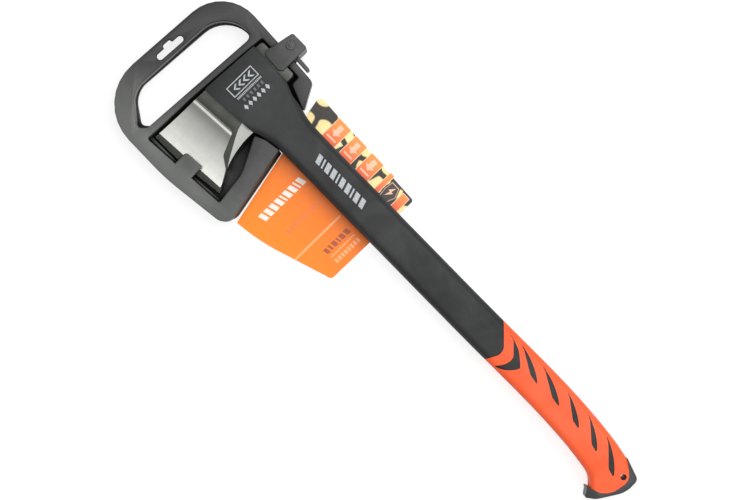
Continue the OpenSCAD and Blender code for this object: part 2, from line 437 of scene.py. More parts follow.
# %% [markdown]
# ## Handle body
# The real handle is one hollow nylon moulding. It ends in a wrap with crisp edges where the
# steel comes out, so the skin was made too wide there, and is now trimmed to its plan. Under the
# grip the moulding goes on as a thinner core, with raised ribs that show through the grip's
# windows. Core and ribs are the same skin, shrunk along its normals, so they follow the grip at
# an even depth all the way round. The hollow can't be seen, so only the CAD has it.

# %% Plans of the grip, its windows and its seams
CAP_LINE = [[9.7, -16.6, 0], [-7.2, -1.4, 12], [-2.8, 25.1, 20], [18.4, 33.6, 0]]
SHAFT_LINE = [[206, -31, 0], [175.6, -1, 10], [186.6, 21, 0]]
GRIP_PLAN = [[9.7, -60, 0], [206, -60, 0], *SHAFT_LINE, [186.6, 60, 0], [18.4, 60, 0],
             *CAP_LINE[::-1]]
SLASH_RUN = 39.2                         # size of the slanted window, as drawn below
SLASH_DROP = 26.4
SLASH = [[0, 0, 1], [11.3, -16, 70], [SLASH_RUN, -SLASH_DROP, 0.6], [29, -21, 80],
         [10, -2.6, 3]]
SLASHES = [[6.9, 7.6, 39, 26.3], [37.2, 2.1, 38, 22.8], [67, -1.4, 41, 20.5],
           [96.8, -2.9, 49, 19.5], [128.6, -2.9, 48, 19.5]]  # [x, y, run, drop] of each window
CRESCENT = [[173.6, 15.4, 0.6], [157.5, 9, 26], [152.8, -3.6, 22], [171, -16.6, 60],
            [192, -21.4, 0.6], [178.5, -17.6, 60], [161.6, -1, 16]]
DEEP = 40                                # further out than any surface of the axe
GRIP_THICK = 3
RIB_RECESS = 0.7                         # how far the ribs lie below the grip's surface
print(f"{len(SLASHES) + 1} windows in the grip")


def windows():
    """Cutters through all six windows of the grip, as one object."""
    tools = [prism("window", CRESCENT, -DEEP, DEEP)]
    for x, y, run, drop in SLASHES:
        corners = [[x + px * run / SLASH_RUN, y + py * drop / SLASH_DROP, r]
                   for px, py, r in SLASH]
        tools.append(prism("window", corners, -DEEP, DEEP))
    bpy.ops.object.select_all(action="DESELECT")
    for tool in tools:
        tool.select_set(True)
    bpy.context.view_layer.objects.active = tools[0]
    bpy.ops.object.join()
    return tools[0]


def shrunk(name, depth):
    """A copy of the skin, moved in along its own normals."""
    piece = copy_of(skin, name)
    pick(piece, "FACE", lambda f: True)
    bpy.ops.transform.shrink_fatten(value=-depth * MM)
    finish_editing()
    return piece


def trim(piece, point, normal):
    """Saws off what lies beyond a plane and closes the cut."""
    pick(piece, "FACE", lambda f: True)
    bpy.ops.mesh.bisect(plane_co=Vector(point) * MM, plane_no=Vector(normal).normalized(),
                        use_fill=True, clear_outer=True)
    finish_editing()
    return piece


# %% Trim the wrap and build the handle
EDGE_SIDE = [[496, 19.2, 0], [508, 20.6, 30], [517, 24.5, 8], [579.6, 28.7, 0], [620, 31.4, 0],
             [620, 90, 0], [496, 90, 0]]
POLL_SIDE = [[496, -28.4, 0], [496, -90, 0], [620, -90, 0], [620, -39.5, 0], [576, -37.8, 0],
             [528.5, -36, 5], [514, -30.4, 30]]
TOE_LINE = [(581, 28, 0), (577.3, -38, 0)]
WAIST = [(531, -60, -12), (575.5, 60, 12)]             # the tunnel for the steel
LANYARD_RADIUS = 3.3

handle = copy_of(skin, "handle")
cut(handle, prism("edge_side", EDGE_SIDE, -DEEP, DEEP), prism("poll_side", POLL_SIDE, -DEEP, DEEP))
along = Vector(TOE_LINE[1]) - Vector(TOE_LINE[0])
trim(handle, TOE_LINE[0], (-along.y, along.x, 0))
cut(handle, prism("grip_plan", GRIP_PLAN, -DEEP, DEEP), block("waist", *WAIST))
trim(handle, (100, 0, 0), (-1, 0, 0))

core = shrunk("core", GRIP_THICK)
keep_inside(core, prism("core_plan", [[205, -60, 0], [205, 60, 0], [18.4, 60, 0],
                                      *CAP_LINE[::-1], [9.7, -60, 0]], -DEEP, DEEP))
ribs = keep_inside(shrunk("ribs", RIB_RECESS), windows())
weld(handle, core, ribs)
cut(handle, drum("lanyard", (0, 0), LANYARD_RADIUS, -DEEP, DEEP))
smooth(handle, 30)
report(handle)

# %% [markdown]
# ## Grip sleeve
# The orange grip is moulded over the core, so it is the skin, kept between its two seams, with
# the windows and the core taken out of it. What is left is a sleeve three millimetres thick.
# A Solidify modifier would also give a sleeve, but it would not meet the core so exactly.

# %% Build the grip
grip = keep_inside(copy_of(skin, "grip"), prism("grip_plan", GRIP_PLAN, -DEEP, DEEP))
cut(grip, shrunk("core", GRIP_THICK), windows(),
    drum("lanyard", (0, 0), LANYARD_RADIUS, -DEEP, DEEP))
smooth(grip, 30)
report(grip)

# %% [markdown]
# ## Butt cap
# The cap is a black crescent with a hook that catches the hand. It is drawn flat and extruded to
# its thickness. Only its outer edges are rolled over with a wide bevel: the seam with the grip
# stays crisp, as it does where two materials are moulded together. From the side the cap grows
# thinner towards its tip, so a second prism, stood on edge across the first, trims it to that.

# %% Standing a prism up
ON_EDGE = Matrix(((0, 0, 1, 0), (1, 0, 0, 0), (0, 1, 0, 0), (0, 0, 0, 1)))


def stood_up(piece, pivot=(0, 0, 0), lean=0):
    """Takes a prism drawn as [away from the shaft, height] and runs it along the shaft."""
    only(piece)
    turn = Matrix.Rotation(radians(lean), 4, "Z")
    piece.matrix_world = Matrix.Translation(Vector(pivot) * MM) @ turn @ ON_EDGE
    bpy.ops.object.transform_apply(location=True, rotation=True, scale=True)
    return faces_outward(piece)


# %% Build the butt cap
CAP_OUTER = [[16.9, 35.4, 1.2], [11.1, 43.2, 2.4], [1.8, 34.6, 25], [-13.8, 9.2, 26],
             [-13.4, -8.7, 6]]
TIP = [[-40, -16, 0], [24, -16, 0], [36, -11.5, 14], [43.8, -4, 5], [43.8, 4, 5], [36, 11.5, 14],
       [24, 16, 0], [-40, 16, 0]]        # [away from the shaft, height]
CAP_HALF = 13.5
CAP_ROLL = 3.4                           # radius of its rolled edges
NEAR_SEAM = 3
SEAM = [Vector(c[:2]) * MM for c in CAP_LINE]


def to_seam(spot):
    """How far a point lies from the nearest leg of the seam, seen from above."""
    distances = []
    for a, b in zip(SEAM, SEAM[1:]):
        share = (spot.xy - a).dot(b - a) / (b - a).length_squared
        distances.append((spot.xy - a.lerp(b, min(1, max(0, share)))).length)
    return min(distances)


def rim_of_cap(edge):
    a, b = [cap.data.vertices[i].co for i in edge.vertices]
    flat = abs(a.z - b.z) < 0.1 * MM
    return flat and max(to_seam(a), to_seam(b)) > NEAR_SEAM * MM


cap = prism("hook_cap", [*CAP_OUTER, *CAP_LINE], -CAP_HALF, CAP_HALF)
pick(cap, "EDGE", rim_of_cap)
bpy.ops.mesh.bevel(offset=CAP_ROLL * MM, segments=6, profile=0.5, affect="EDGES",
                   clamp_overlap=False)
finish_editing()
keep_inside(cap, stood_up(prism("tip_profile", TIP, -40, 60)))
smooth(cap, 40)
report(cap)

# %% [markdown]
# ## Steel head
# The head is one forging: a wedge with a ground cheek scooped into each side, a facet at the
# heel, a waist that runs through the handle and a square poll. Its plan is cut from a prism, and
# its thickness from a second prism, drawn on edge and stood up across the first. Pushing points
# about by hand would not keep such crisp edges. Each cutter carries the finish of the face that
# it leaves, so ground and coated steel get their own materials without picking faces.

# %% Two finishes of the steel, filled in later
coated_steel = bpy.data.materials.new("coated_steel")
ground_steel = bpy.data.materials.new("ground_steel")


def finish_with(piece, material):
    """One material all over a piece."""
    piece.data.materials.clear()
    piece.data.materials.append(material)
    return piece


# %% The wedge
HEAD_TILT = 4                            # the cutting edge leans by this many degrees
HEAD_PIVOT = (540, 0, 0)
WEDGE = [[101, 0], [98.8, 0.35], [93.8, 1.95], [80, 5.3], [60, 9.8], [42, 13.3], [33, 14.7],
         [18, 15.4]]                     # [away from the shaft, half thickness]
BLADE = [[516, 20, 0], [580, 24, 0], [583.8, 99.4, 1], [552, 99.4, 260], [496.5, 92.7, 0.8],
         [517.8, 52, 90]]
upper = [[u, h, 0] for u, h in WEDGE]
lower = [[u, -h, 0] for u, h in WEDGE[:0:-1]]
head = finish_with(prism("steel_head", BLADE, -20, 20), coated_steel)
wedge = stood_up(prism("wedge", upper + lower, -60, 60), HEAD_PIVOT, HEAD_TILT)
keep_inside(head, finish_with(wedge, coated_steel))
report(head)

# %% [markdown]
# A splitting axe has hollow cheeks, so that the wood touches only near the edge and then at the
# shoulder. The hollow is one long cutter, whose profile has large radii where the wheel ran, and
# a step where it stopped. The plan below keeps the cutter to the part that was ground.

# %% The scooped cheeks
CHEEK_PLAN = [[501, 84.6, 2], [509, 70.8, 5], [521, 62.5, 8], [531.6, 37, 7], [600, 41.8, 0],
              [600, 98, 0], [499, 93.5, 0]]
SCOOP = [[90.6, 2.7, 0], [84, 3.1, 110], [74, 4.1, 110], [64, 5.8, 110], [54, 8.3, 70],
         [48, 10.5, 60], [43.4, 12.5, 3], [40.6, 12.8, 2], [36, 15.6, 0], [36, 30, 0],
         [90.6, 30, 0]]                  # [away from the shaft, half thickness]


def cheek_cutter(side):
    """What the grinding wheel takes out of one cheek."""
    scoop = stood_up(prism("scoop", [[u, h * side, r] for u, h, r in SCOOP], -70, 70),
                     HEAD_PIVOT, HEAD_TILT)
    finish_with(scoop, ground_steel)
    plan = finish_with(prism("cheek_plan", CHEEK_PLAN, -DEEP, DEEP), ground_steel)
    keep_inside(scoop, plan)
    return scoop


for side in (1, -1):
    cut(head, cheek_cutter(side))
report(head)

# %% [markdown]
# The heel is ground away in one flat stroke on each side. Three points give that plane, and a
# slab that lies on it does the cutting. The waist is a block and the poll a prism, with its
# edges softened before it is welded on, because the rest of the head stays crisp.

# %% The heel facets, the waist and the poll
FACET = [Vector((513, 64, 9.3)), Vector((528.6, 33, 14.8)), Vector((518.5, 33, 9.4))]
SLAB = 60                                # large enough to take off the whole corner


def heel_facet(piece, side):
    """Grinds the heel corner away along a plane through three points."""
    a, b, c = [Vector((p.x, p.y, p.z * side)) for p in FACET]
    normal = (b - a).cross(c - a)
    if normal.z * side < 0:
        normal = -normal
    slab = block("slab", (-SLAB, -SLAB, 0), (SLAB, SLAB, SLAB))
    only(slab)
    slab.matrix_world = (Matrix.Translation((a + b + c) / 3 * MM)
                         @ normal.to_track_quat("Z", "Y").to_matrix().to_4x4())
    bpy.ops.object.transform_apply(location=True, rotation=True, scale=True)
    cut(piece, finish_with(slab, ground_steel))


for side in (1, -1):
    heel_facet(head, side)
POLL = [[528.5, -47.3, 3.5], [576, -47.3, 3.5], [576, -36, 0], [528.5, -36, 0]]
POLL_HALF = 13
poll = finish_with(prism("poll", POLL, -POLL_HALF, POLL_HALF), coated_steel)
waist = finish_with(block("waist", (531.3, -42, -11.8), (575.2, 30, 11.8)), coated_steel)
weld(head, soften(poll, 1.2, limit=50), waist)
smooth(head, 28)
report(head)

# %% [markdown]
# ## Sheath
# The sheath is one dark moulding: a C-shaped frame around a pocket, with a carry handle, a hang
# slot, a floor behind the blade and a tab that reaches over its edge. The frame is a prism whose
# rims are rolled over by a bevel, all round at once. A bevel modifier would also round corners
# that the mould leaves sharp, so the rim's own edges are picked out first.

# %% Frame of the sheath
RIM = 10                                 # half the depth of the sheath
SHEATH = [[495.5, -27.6, 1.6], [511, -55.3, 5], [564, -58.3, 60], [645.4, -61.9, 45],
          [655.5, 120.1, 53.7], [546, 121.4, 220], [465.3, 111.4, 13.5], [484.3, 17.6, 1.6],
          [502, 20.3, 12], [513.4, 25.4, 2.5], [494, 62, 40], [488.9, 99.4, 2], [587.2, 106.2, 2],
          [585.4, 49, 60], [578.6, -49.6, 1.8], [524, -48.2, 1.8], [523.8, -38.2, 5]]
CARRY_HOLE = [[587.1, -44.8, 8], [627, -42, 34], [632.9, 82, 24], [603, 106.3, 5],
              [595.2, 98.6, 5]]
CARRY_LIP = [[587.1, -43.6, 8], [624.6, -41, 33], [632.1, 82, 24], [603.6, 101.4, 5],
             [595.2, 94.6, 5]]           # the same hole at the back, where a lip narrows it
TAB = [[526.6, 115, 0], [527.4, 86, 2.6], [549.6, 87.6, 2.6], [549, 115, 0]]
HANG_SLOT = [[-3.5, -16.8, 3.3], [3.5, -16.8, 3.3], [3.5, -5.2, 1.5], [7.8, -5, 4.2],
             [7.8, 5, 4.2], [3.5, 5.2, 1.5], [3.5, 16.8, 3.3], [-3.5, 16.8, 3.3]]
SLOT_HOLLOW = [[-4.6, -19, 2], [10, -19, 3], [10, 19, 3], [-4.6, 19, 2]]
SLOT_AT = Vector((637.5, 24.6, 0))
SLOT_TURN = -3.3                         # degrees
TAB_UNDER = 6.8                          # height of the tab's underside
CARRY_STEP = -4                          # height of the lip's top


def at_slot(piece):
    """Turns and moves a cutter, drawn about its own centre, to the hang slot."""
    only(piece)
    turn = Matrix.Rotation(radians(SLOT_TURN), 4, "Z")
    piece.matrix_world = Matrix.Translation(SLOT_AT * MM) @ turn
    bpy.ops.object.transform_apply(location=True, rotation=True, scale=True)
    return piece


def rolled(piece, width, level, segments=4):
    """Rolls over the rims of a prism where its walls meet its lids at a height."""
    mesh = piece.data
    walls = set()
    lids = set()
    for face in mesh.polygons:
        if abs(face.normal.z) < 0.5:
            walls.update(face.edge_keys)
        elif abs(abs(face.center.z) - level * MM) < 0.01 * MM:
            lids.update(face.edge_keys)
    pick(piece, "EDGE", lambda e: e.key in walls and e.key in lids)
    bpy.ops.mesh.bevel(offset=width * MM, segments=segments, affect="EDGES", clamp_overlap=False)
    finish_editing()
    return piece


sheath = prism("sheath", SHEATH, -RIM, RIM)
weld(sheath, prism("tab", TAB, TAB_UNDER, RIM))
cut(sheath, prism("carry", CARRY_HOLE, CARRY_STEP - 1, DEEP),
    prism("carry_lip", CARRY_LIP, -DEEP, CARRY_STEP),
    at_slot(prism("slot", HANG_SLOT, -DEEP, DEEP)))
rolled(sheath, 1.3, RIM)
cut(sheath, at_slot(prism("hollow", SLOT_HOLLOW, -DEEP, 7.4)))
report(sheath)

# %% [markdown]
# The floor, the ledge and the flange are welded in after the rims are rolled, so that their
# corners stay tight. The seats fit the axe exactly, because they are cut by copies of the handle
# and the head.

# %% Floor, ledge, seats and flange
FLOOR = [[490.5, 101, 0], [492.5, 70, 0], [500.5, 49, 20], [511.5, 26.5, 2], [513.2, 46, 6],
         [521, 50, 8], [581, 52, 0], [580.4, 27, 0], [585.9, 27, 0], [588.4, 107.5, 0]]
LEDGE = [[490.5, 99, 0], [588.5, 105, 0], [588.5, 101.9, 0], [552, 101.6, 0], [492, 97, 0]]
FLANGE = [[482, 109.2, 0], [464.3, 107.8, 13], [481.9, 18.1, 1.2], [488, 18.5, 0], [486, 100, 0]]
SEATS = [[[484.8, 18.5, 0], [490, 16, 0], [508, 17, 0], [519, 22, 0], [519, 45, 0],
          [516, 56, 0], [500, 56, 0], [496, 30, 0]],
         [[498, -27.6, 0], [505.5, -42, 0], [523, -51, 0], [530, -50, 0], [530, -33, 0],
          [514, -26, 0]],
         [[523, -34, 0], [523, -51, 0], [580, -52, 0], [580, -34, 0]]]
FLOOR_TOP = -7.6
seats = prism("floor", FLOOR, -RIM + 0.1, FLOOR_TOP)
for step, outline in enumerate(SEATS):   # each a little higher, so that no two faces coincide
    lift = 0.05 * step
    weld(seats, prism("seat", outline, -RIM + 0.2 + lift, FLOOR_TOP + 0.05 + lift))
cut(seats, copy_of(handle, "room"), copy_of(head, "room"))
weld(sheath, seats, prism("ledge", LEDGE, -8, 0))
weld(sheath, rolled(prism("flange", FLANGE, -RIM, -5.5), 0.6, RIM, 2))
report(sheath)

# %% The lug for the pin
PIN_AT = (552.3, -65.1)
PIN_BORE = 3.02
LUG_HALF = 13.1
lug = drum("lug", PIN_AT, 6.5, -LUG_HALF, LUG_HALF)
weld(lug, block("lug_root", (545.8, -65, -LUG_HALF), (558.8, -53.5, LUG_HALF)))
weld(sheath, soften(lug, 0.7, limit=50, segments=2))
cut(sheath, drum("pin_bore", PIN_AT, PIN_BORE, -DEEP, DEEP))
smooth(sheath, 34)
report(sheath)

# %% [markdown]
# ## Latch
# The latch is a clip that swings on a rivet. Two plates reach over the poll, a web joins them
# behind, and a short ribbed lever sticks out for the thumb. It is the one piece that moves, so
# it rides on a body of its own. Its two plates are one outline, extruded twice, and the bore runs
# through both at once, so they stay in line with the rivet.

# %% Build the latch
CLIP_FACE = 15.8                         # outside and inside of its upper plate
CLIP_BACK = 13.4
WALL_HALF = 14.8                         # half height of the walls between the plates
RIVET_HOLE = 3.06
CLIP = [[539, -75.5, 3], [559.8, -75.5, 3], [564.6, -50, 30], [566.8, -42.4, 3],
        [562.6, -39.3, 3], [543, -38.1, 3.5], [539, -41.5, 1.5]]
LEVER = [[521.9, -58.3, 1.7], [521.9, -62.4, 1.7], [541, -63.6, 0], [541, -59.4, 0]]
latch = rolled(prism("latch", CLIP, CLIP_BACK, CLIP_FACE), 0.9, CLIP_FACE, 3)
weld(latch, rolled(prism("plate", CLIP, -CLIP_FACE, -CLIP_BACK), 0.9, CLIP_FACE, 3))
weld(latch, block("web", (541, -75.5, -WALL_HALF), (558, -73.1, WALL_HALF)))
weld(latch, block("side_wall", (539, -73, -WALL_HALF), (541.4, -58.4, WALL_HALF)))
weld(latch, block("corner", (539.8, -74.7, -WALL_HALF), (542.8, -71.7, WALL_HALF)))
lever = soften(prism("lever", LEVER, -7, 7), 0.6, limit=50, segments=2)
for x in range(524, 539, 3):             # grooves for the thumb, on both faces
    cut(lever, block("groove", (x, -59.2, -8), (x + 1.2, -57, 8)))
    cut(lever, block("groove", (x, -65, -8), (x + 1.2, -62.9, 8)))
weld(latch, lever)
ring = cut(drum("ring", PIN_AT, 6.6, CLIP_FACE - 0.2, CLIP_FACE + 0.3),
           drum("seat", PIN_AT, 5.7, CLIP_FACE - 1, CLIP_FACE + 1))
weld(latch, ring)
cut(latch, drum("rivet_hole", PIN_AT, RIVET_HOLE, -DEEP, DEEP))
smooth(latch, 34)
report(latch)

# %% [markdown]
# ## Rivet
# A turned part is best made by spinning its profile about its axis. The profile is drawn as a
# chain of extruded points, from the middle of the top head down to the middle of the lower one.

# %% Spin the rivet
RIVET_SEAT = 15.9                        # height of the underside of its head
RIVET_HEAD = [[0, 1.6], [0.9, 1.5], [1.4, 1.9], [2.5, 1.7], [2.8, 1], [3.4, 1], [3.7, 1.5],
              [4.4, 1.4], [5, 0.8], [5, 0], [3, 0]]    # [radius, height above that]


def lathe(name, profile, centre):
    """Spins an open chain of points about an upright axis, once round."""
    select_by("VERT")
    bpy.ops.object.select_all(action="DESELECT")
    bpy.ops.mesh.primitive_plane_add(size=MM)
    piece = bpy.context.object
    piece.name = piece.data.name = name
    bpy.ops.object.mode_set(mode="EDIT")
    bpy.ops.mesh.merge(type="CENTER")
    start = ((centre[0] + profile[0][0]) * MM, centre[1] * MM, profile[0][1] * MM)
    bpy.ops.transform.translate(value=start)
    for a, b in zip(profile, profile[1:]):
        step = ((b[0] - a[0]) * MM, 0, (b[1] - a[1]) * MM)
        bpy.ops.mesh.extrude_region_move(TRANSFORM_OT_translate={"value": step})
    bpy.ops.mesh.select_all(action="SELECT")
    bpy.ops.mesh.spin(steps=AROUND, angle=2 * pi,
                      center=(centre[0] * MM, centre[1] * MM, 0), axis=(0, 0, 1))
    finish_editing()
    return faces_outward(piece)


top_half = [[r, RIVET_SEAT + h] for r, h in RIVET_HEAD]
rivet = lathe("rivet", top_half + [[r, -h] for r, h in top_half[::-1]], PIN_AT)
smooth(rivet, 34)
report(rivet)

# %% [markdown]
# ## Card and its pad
# A printed card stands behind the shaft. It is a thin sheet of board, cut to a flowing outline.
# A soft foam pad sits between it and the shaft, and that one is the CAD's own piece. The card's
# cut edges stay white, and its back stays grey, so those faces get finishes of their own when
# the pieces are put together.

# %% Build the card
CARD = [[351.7, -45.2, 3], [494, -51.7, 2], [496.5, -46, 1], [492, -24, 0], [486, 0, 0],
        [463.6, 102.1, 1.5], [432, 98.2, 200], [353, 72.4, 4]]
CARD_FACE = -15.6
CARD_THICK = 0.6
card = prism("card", CARD, CARD_FACE - CARD_THICK, CARD_FACE)
report(card)

# %% [markdown]
# ## Printed marks
# The marks on the shaft, the wrap and the card are ink. A mask in the material could draw them,
# but here they are very thin prisms that stand up to a tenth of a millimetre proud, so that they
# are sharp at any distance and go into every exported format. They say nothing: they are slanted
# bars, chevrons, lozenges, arrows and a bolt.

# %% Drawing the marks
def gather(name, pieces):
    """Joins pieces that share one ink into one object."""
    bpy.ops.object.select_all(action="DESELECT")
    for piece in pieces:
        piece.select_set(True)
    bpy.context.view_layer.objects.active = pieces[0]
    bpy.ops.object.join()
    pieces[0].name = pieces[0].data.name = name
    return pieces[0]


def bars(starts, widths, across, slant, level):
    """Slanted bars in a row along X, from one side of a band to the other."""
    made = []
    (low, high), (bottom, top) = across, level
    for start, width in zip(starts, widths):
        corners = [[start, low, 0], [start + width, low, 0],
                   [start + width + slant, high, 0], [start + slant, high, 0]]
        made.append(prism("bar", corners, bottom, top))
    return made


def swapped(piece):
    """Swaps X and Y, so that a mark drawn along X lies along Y."""
    only(piece)
    piece.matrix_world = Matrix(((0, 1, 0, 0), (1, 0, 0, 0), (0, 0, 1, 0), (0, 0, 0, 1)))
    bpy.ops.object.transform_apply(location=True, rotation=True, scale=True)
    return faces_outward(piece)


# %% Marks on the shaft and the wrap
SHAFT_INK = (14, 14.15)                  # from inside the surface to just above it
WRAP_INK = (20.1, 20.44)
stripes = [(385, 5.6), (393.2, 5.6), (401.4, 2), (405.8, 5.6), (414, 5.6), (422.2, 2),
           (426.6, 5.6), (434.8, 5.6), (443, 2), (447.4, 5.6)]      # [start, width]
shaft_mark = gather("shaft_mark", bars(*zip(*stripes), (-9.3, 0.1), -3.2, SHAFT_INK))
frame_bar = cut(prism("frame_bar", [[553, -21.4, 0.4], [565.8, -21.4, 0.4], [565.8, 13, 0.4],
                                    [553, 13, 0.4]], *WRAP_INK),
                block("inside", (554, -20.4, 19), (564.8, 12, 22)))
chevrons = []
for y in (-18, -11.5, -5, 1.5):
    chevrons.append(prism("chevron", [[556, y, 0], [559.4, y + 4, 0], [562.8, y, 0],
                                      [562.8, y + 2.6, 0], [559.4, y + 6.6, 0],
                                      [556, y + 2.6, 0]], *WRAP_INK))
lozenges = [prism("lozenge", [[535, y, 0], [538.2, y + 2.2, 0], [541.4, y, 0],
                              [538.2, y - 2.2, 0]], *WRAP_INK)
            for y in (-19, -13, -7, -1, 5, 11)]
ticks = [block("tick", (549, y / 10, WRAP_INK[0]), (551.2, y / 10 + 1, WRAP_INK[1]))
         for y in range(-213, 125, 17)]
wrap_mark = gather("wrap_mark", [frame_bar, *chevrons, *lozenges, *ticks])
faint_mark = gather("faint_mark", [
    prism("square", [[543.4, y, 0], [547, y, 0], [547, y + 2.4, 0], [543.4, y + 2.4, 0]],
          *WRAP_INK) for y in (-19, -14, -9, -4, 1, 6)])
for mark in (shaft_mark, wrap_mark, faint_mark):
    report(mark)

# %% [markdown]
# The card's marks lie in layers: borders and bars on the board, labels a little above them, and
# arrows and rings on top. Each layer has its own height, so that their faces don't coincide.

# %% Marks on the card
CARD_INK = (CARD_FACE - 0.05, CARD_FACE + 0.04)
LABEL_INK = (CARD_FACE, CARD_FACE + 0.07)
OVER_INK = (CARD_FACE, CARD_FACE + 0.1)


def along_y(starts, widths, across, slant, level):
    """The same bars in a row along Y."""
    return [swapped(bar) for bar in bars(starts, widths, across, slant, level)]


card_white = gather("card_white", along_y(
    (20.5, 28, 32.3, 39.8, 47.3, 51.6, 59.1, 66.6, 74.1), (5.2, 2, 5.2, 5.2, 2, 5.2, 5.2, 5.2, 5.2),
    (443.4, 452.8), 2.6, CARD_INK))
card_faint = gather("card_faint", along_y([22 + 5.1 * i for i in range(10)], [3.4] * 10,
                                          (417.4, 422), 1, CARD_INK))
card_pale = gather("card_pale", [
    block("fold_line", (392.6, 20, CARD_INK[0]), (394.8, 85.6, CARD_INK[1])),
    *along_y([23 + 4.4 * i for i in range(8)], [3] * 8, (360.4, 365.4), 0, CARD_INK),
    *along_y([24 + 2.6 * i for i in range(13)], [1.6] * 13, (368.4, 370.6), 0, CARD_INK)])
card_dark = gather("card_dark", along_y(
    (23.5, 30.5, 37.5, 41.3, 48.3, 53), (5, 5, 2, 5, 2.6, 4), (374, 380.4), 1.4, CARD_INK))
for mark in (card_white, card_faint, card_pale, card_dark):
    report(mark)

# %% Labels and their borders
LABELS = [(399.8, 417), (425, 441.4), (449.2, 466.6)]           # from, to along the shaft
STRIPS = [(383.6, 388.8), (356, 364.4)]
borders = []
labels = []
for low, high in LABELS + STRIPS:
    outer = -48.6 - (low - 400) / 45 if low > 370 else -42.6      # the card is wider up there
    labels.append(prism("label", [[low, outer, 0.6], [high, outer - 0.4, 0.6], [high, -22, 0],
                                  [low, -22, 0]], *LABEL_INK))
    borders.append(prism("border", [[low - 0.6, outer - 0.6, 1], [high + 0.6, outer - 1, 1],
                                    [high + 0.6, -21, 0], [low - 0.6, -21, 0]], *CARD_INK))
card_labels = gather("card_labels", labels)
card_borders = gather("card_borders", borders)
for mark in (card_labels, card_borders):
    report(mark)

# %% Badge, arrows and bolt
HEXAGON = [[365.6, -33, 0], [370, -44.4, 0], [381.4, -44.8, 0], [383, -33, 0], [381.4, -22, 0],
           [370, -22, 0]]
BADGE_CENTRE = (374.3, -33.4)


def drawn_in(outline, factor):
    """A smaller copy of an outline about the badge's centre."""
    middle_x, middle_y = BADGE_CENTRE
    return [[middle_x + (x - middle_x) * factor, middle_y + (y - middle_y) * factor, 0]
            for x, y, _ in outline]


card_badge = prism("card_badge", HEXAGON, *CARD_INK)
rim = drawn_in(HEXAGON, 0.86)
label_marks = [cut(prism("badge_ring", rim, *OVER_INK),
                   prism("inside", drawn_in(rim, 0.93), -20, -10))]
for low, high in LABELS:
    third = (high - low) / 3
    label_marks.append(prism("arrow", [[low + third, -46, 0], [high - third, -46, 0],
                                       [high - third, -38, 0], [high - third / 2, -38, 0],
                                       [(low + high) / 2, -32.5, 0], [low + third / 2, -38, 0],
                                       [low + third, -38, 0]], *OVER_INK))
    label_marks += bars([low + 2.4], [high - low - 4.8], (-30.4, -28.4), 0, OVER_INK)
label_marks.append(prism("bolt", [[373, -41, 0], [378.2, -34.4, 0], [375.6, -34.4, 0],
                                  [377.4, -27.5, 0], [371.4, -35, 0], [374.2, -35, 0]], *OVER_INK))
card_icons = gather("card_icons", label_marks)
for mark in (card_badge, card_icons):
    report(mark)

# %% [markdown]
# ## Effects that the finishes share
# Every finish here is built on a few effects: the spark-eroded grain of a mould, the patches
# that handling leaves, wear along edges, painted shade in deep corners and the fine lines of a
# grinding belt. They could be wired afresh in each material. Instead each is a node group with
# its own inputs, made once and used in each material with its own values. A group gives out only
# masks and heights, and the shader stays in the material.

# %% Making and placing an effect
def effect(name, inputs, outputs):
    """An empty node group with named inputs and outputs."""
    group = bpy.data.node_groups.new(name, "ShaderNodeTree")
    for label, default in inputs.items():
        socket = group.interface.new_socket(label, in_out="INPUT", socket_type="NodeSocketFloat")
        socket.default_value = default
    for label in outputs:
        group.interface.new_socket(label, in_out="OUTPUT", socket_type="NodeSocketFloat")
    return group, group.nodes.new("NodeGroupInput").outputs, group.nodes.new("NodeGroupOutput").inputs


def place(tree, group, **values):
    """Puts an effect into a material with its own values."""
    node = tree.nodes.new("ShaderNodeGroup")
    node.node_tree = group
    for label, value in values.items():
        node.inputs[label.replace("_", " ")].default_value = value
    return node.outputs


# %% The shared effects
def make_grain():
    """Fine pits and bumps, as a spark-eroded mould leaves them."""
    group, given, result = effect("moulded grain", {"Grains per metre": 1500}, ["Height"])
    where = add(group, "TexCoord").outputs["Object"]
    bumps = add(group, "TexNoise", {"Vector": where, "Scale": given[0], "Detail": 3.0,
                                    "Roughness": 0.6}).outputs["Fac"]
    pits = add(group, "TexVoronoi", {"Vector": where, "Scale": given[0]}).outputs["Distance"]
    group.links.new(sums(group, "MULTIPLY_ADD", pits, 0.6, bumps), result["Height"])
    return group


def make_patches():
    """Soft, uneven patches where hands and cartons have rubbed, and finer specks of dust."""
    group, given, result = effect("handling", {"Patches per metre": 25}, ["Patches", "Dust"])
    where = add(group, "TexCoord").outputs["Object"]
    broad = add(group, "TexNoise", {"Vector": where, "Scale": given[0], "Detail": 4.0,
                                    "Roughness": 0.65, "Distortion": 0.6}).outputs["Fac"]
    finer = sums(group, "MULTIPLY", given[0], 40)
    specks = add(group, "TexNoise", {"Vector": where, "Scale": finer, "Detail": 1.0})
    group.links.new(spread(group, broad, 0.32, 0.68), result["Patches"])
    group.links.new(spread(group, specks.outputs["Fac"], 0.66, 0.74), result["Dust"])
    return group


def make_wear():
    """Where edges stick out: a rounded normal there turns away from the true one."""
    sizes = {"Radius": 0.0008, "Breakup per metre": 300}
    group, given, result = effect("edge wear", sizes, ["Wear"])
    rounded = add(group, "Bevel", {"Radius": given[0]}, samples=6).outputs["Normal"]
    true = add(group, "NewGeometry").outputs["Normal"]
    same = add(group, "VectorMath", {0: rounded, 1: true}, operation="DOT_PRODUCT")
    edge = spread(group, same.outputs["Value"], 0.99, 0.86)
    where = add(group, "TexCoord").outputs["Object"]
    chips = add(group, "TexNoise", {"Vector": where, "Scale": given[1], "Detail": 4.0})
    broken = spread(group, chips.outputs["Fac"], 0.38, 0.62)
    group.links.new(sums(group, "MULTIPLY", edge, broken), result["Wear"])
    return group


